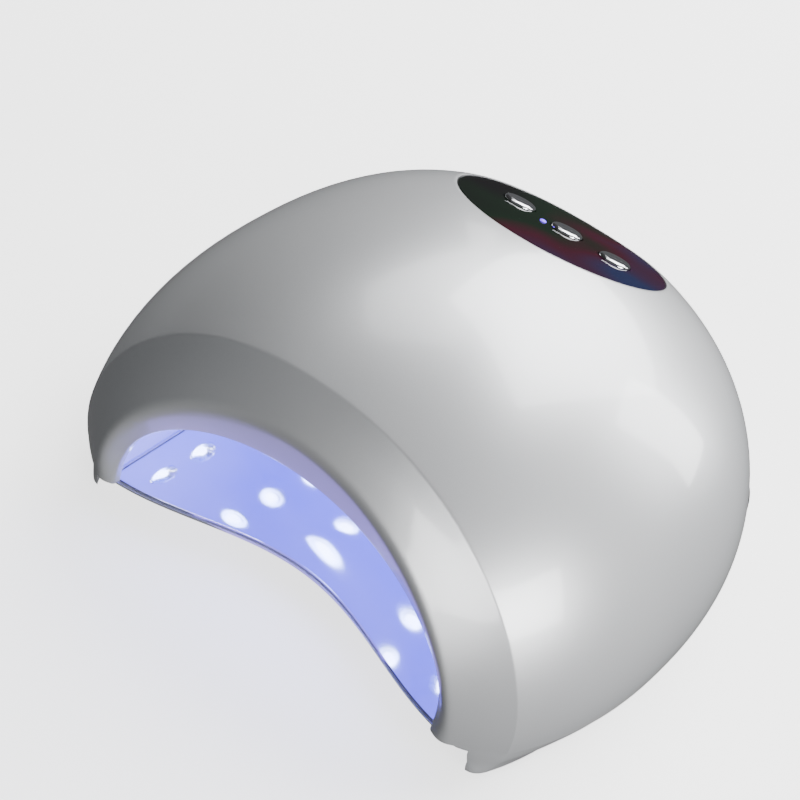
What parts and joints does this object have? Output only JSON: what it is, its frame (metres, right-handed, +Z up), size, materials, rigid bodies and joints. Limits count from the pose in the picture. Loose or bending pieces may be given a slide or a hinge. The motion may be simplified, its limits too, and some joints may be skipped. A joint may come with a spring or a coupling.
{
  "type": "uv curing lamp",
  "caption": "Dome-shaped tabletop UV curing lamp with an arched hand opening, an oval top panel with timer buttons, and a mirrored tray that the housing lifts off.",
  "frame": {"origin": "middle of the whole lamp's footprint, on the surface that the feet stand on", "axes": "+Z up; the hand goes in from -Y towards +Y; +X is to the right for someone at the opening"},
  "size_m": [0.1996, 0.1854, 0.1149],
  "materials": {
    "pearl": "pearl-white paint, glossy",
    "reflector_white": "white reflective moulding",
    "mirror_sheet": "polished metal sheet",
    "panel_black": "high-gloss black acrylic",
    "chrome": "polished",
    "black_plastic": "satin",
    "lead_jacket": "matt",
    "board_white": "solder mask",
    "board_green": "solder mask",
    "lamp_lens": "clear moulded lens, lit violet-blue",
    "foot_rubber": "matt",
    "steel": "plated",
    "magnet_nickel": "nickel plated"
  },
  "bodies": {
    "base": {"base_tray": "pearl", "mirror_plate": "mirror_sheet", "rubber_foot_1": "foot_rubber", "rubber_foot_2": "foot_rubber", "rubber_foot_3": "foot_rubber", "rubber_foot_4": "foot_rubber", "keeper_disc_1": "steel", "keeper_disc_2": "steel", "keeper_disc_3": "steel", "keeper_disc_4": "steel"},
    "housing": {"upper_shell": "pearl", "inner_liner": "reflector_white", "control_panel": "panel_black", "tact_switch_1": "black_plastic", "tact_switch_2": "black_plastic", "tact_switch_3": "black_plastic", "dc_jack": "black_plastic", "motion_sensor": "black_plastic", "power_lead": "lead_jacket", "roof_led_board": "board_white", "left_shoulder_led_board": "board_white", "right_shoulder_led_board": "board_white", "left_side_led_board": "board_white", "right_side_led_board": "board_white", "control_board": "board_green", "led_lamp_01": "lamp_lens", "led_lamp_02": "lamp_lens", "led_lamp_03": "lamp_lens", "led_lamp_04": "lamp_lens", "led_lamp_05": "lamp_lens", "led_lamp_06": "lamp_lens", "led_lamp_07": "lamp_lens", "led_lamp_08": "lamp_lens", "led_lamp_09": "lamp_lens", "led_lamp_10": "lamp_lens", "led_lamp_11": "lamp_lens", "led_lamp_12": "lamp_lens", "led_lamp_13": "lamp_lens", "led_lamp_14": "lamp_lens", "led_lamp_15": "lamp_lens", "led_lamp_16": "lamp_lens", "led_lamp_17": "lamp_lens", "led_lamp_18": "lamp_lens", "led_lamp_19": "lamp_lens", "led_lamp_20": "lamp_lens", "indicator_light": "lamp_lens", "liner_screw_1": "steel", "liner_screw_2": "steel", "liner_screw_3": "steel", "liner_screw_4": "steel", "housing_magnet_1": "magnet_nickel", "housing_magnet_2": "magnet_nickel", "housing_magnet_3": "magnet_nickel", "housing_magnet_4": "magnet_nickel"},
    "button_1": {"timer_button_1": "chrome", "switch_plunger_1": "black_plastic"},
    "button_2": {"timer_button_2": "chrome", "switch_plunger_2": "black_plastic"},
    "button_3": {"timer_button_3": "chrome", "switch_plunger_3": "black_plastic"}
  },
  "joints": [
    {"name": "housing_lift", "type": "slide", "parent": "base", "child": "housing", "axis": [0, 0, 1], "range_m": [0, 0.06]},
    {"name": "button_1_press", "type": "slide", "parent": "housing", "child": "button_1", "axis": [0, -0.4195, -0.9078], "range_m": [0, 0.0005], "stiffness_N_per_m": 1200},
    {"name": "button_2_press", "type": "slide", "parent": "housing", "child": "button_2", "axis": [0, -0.4195, -0.9078], "range_m": [0, 0.0005], "stiffness_N_per_m": 1200},
    {"name": "button_3_press", "type": "slide", "parent": "housing", "child": "button_3", "axis": [0, -0.4195, -0.9078], "range_m": [0, 0.0005], "stiffness_N_per_m": 1200}
  ]
}
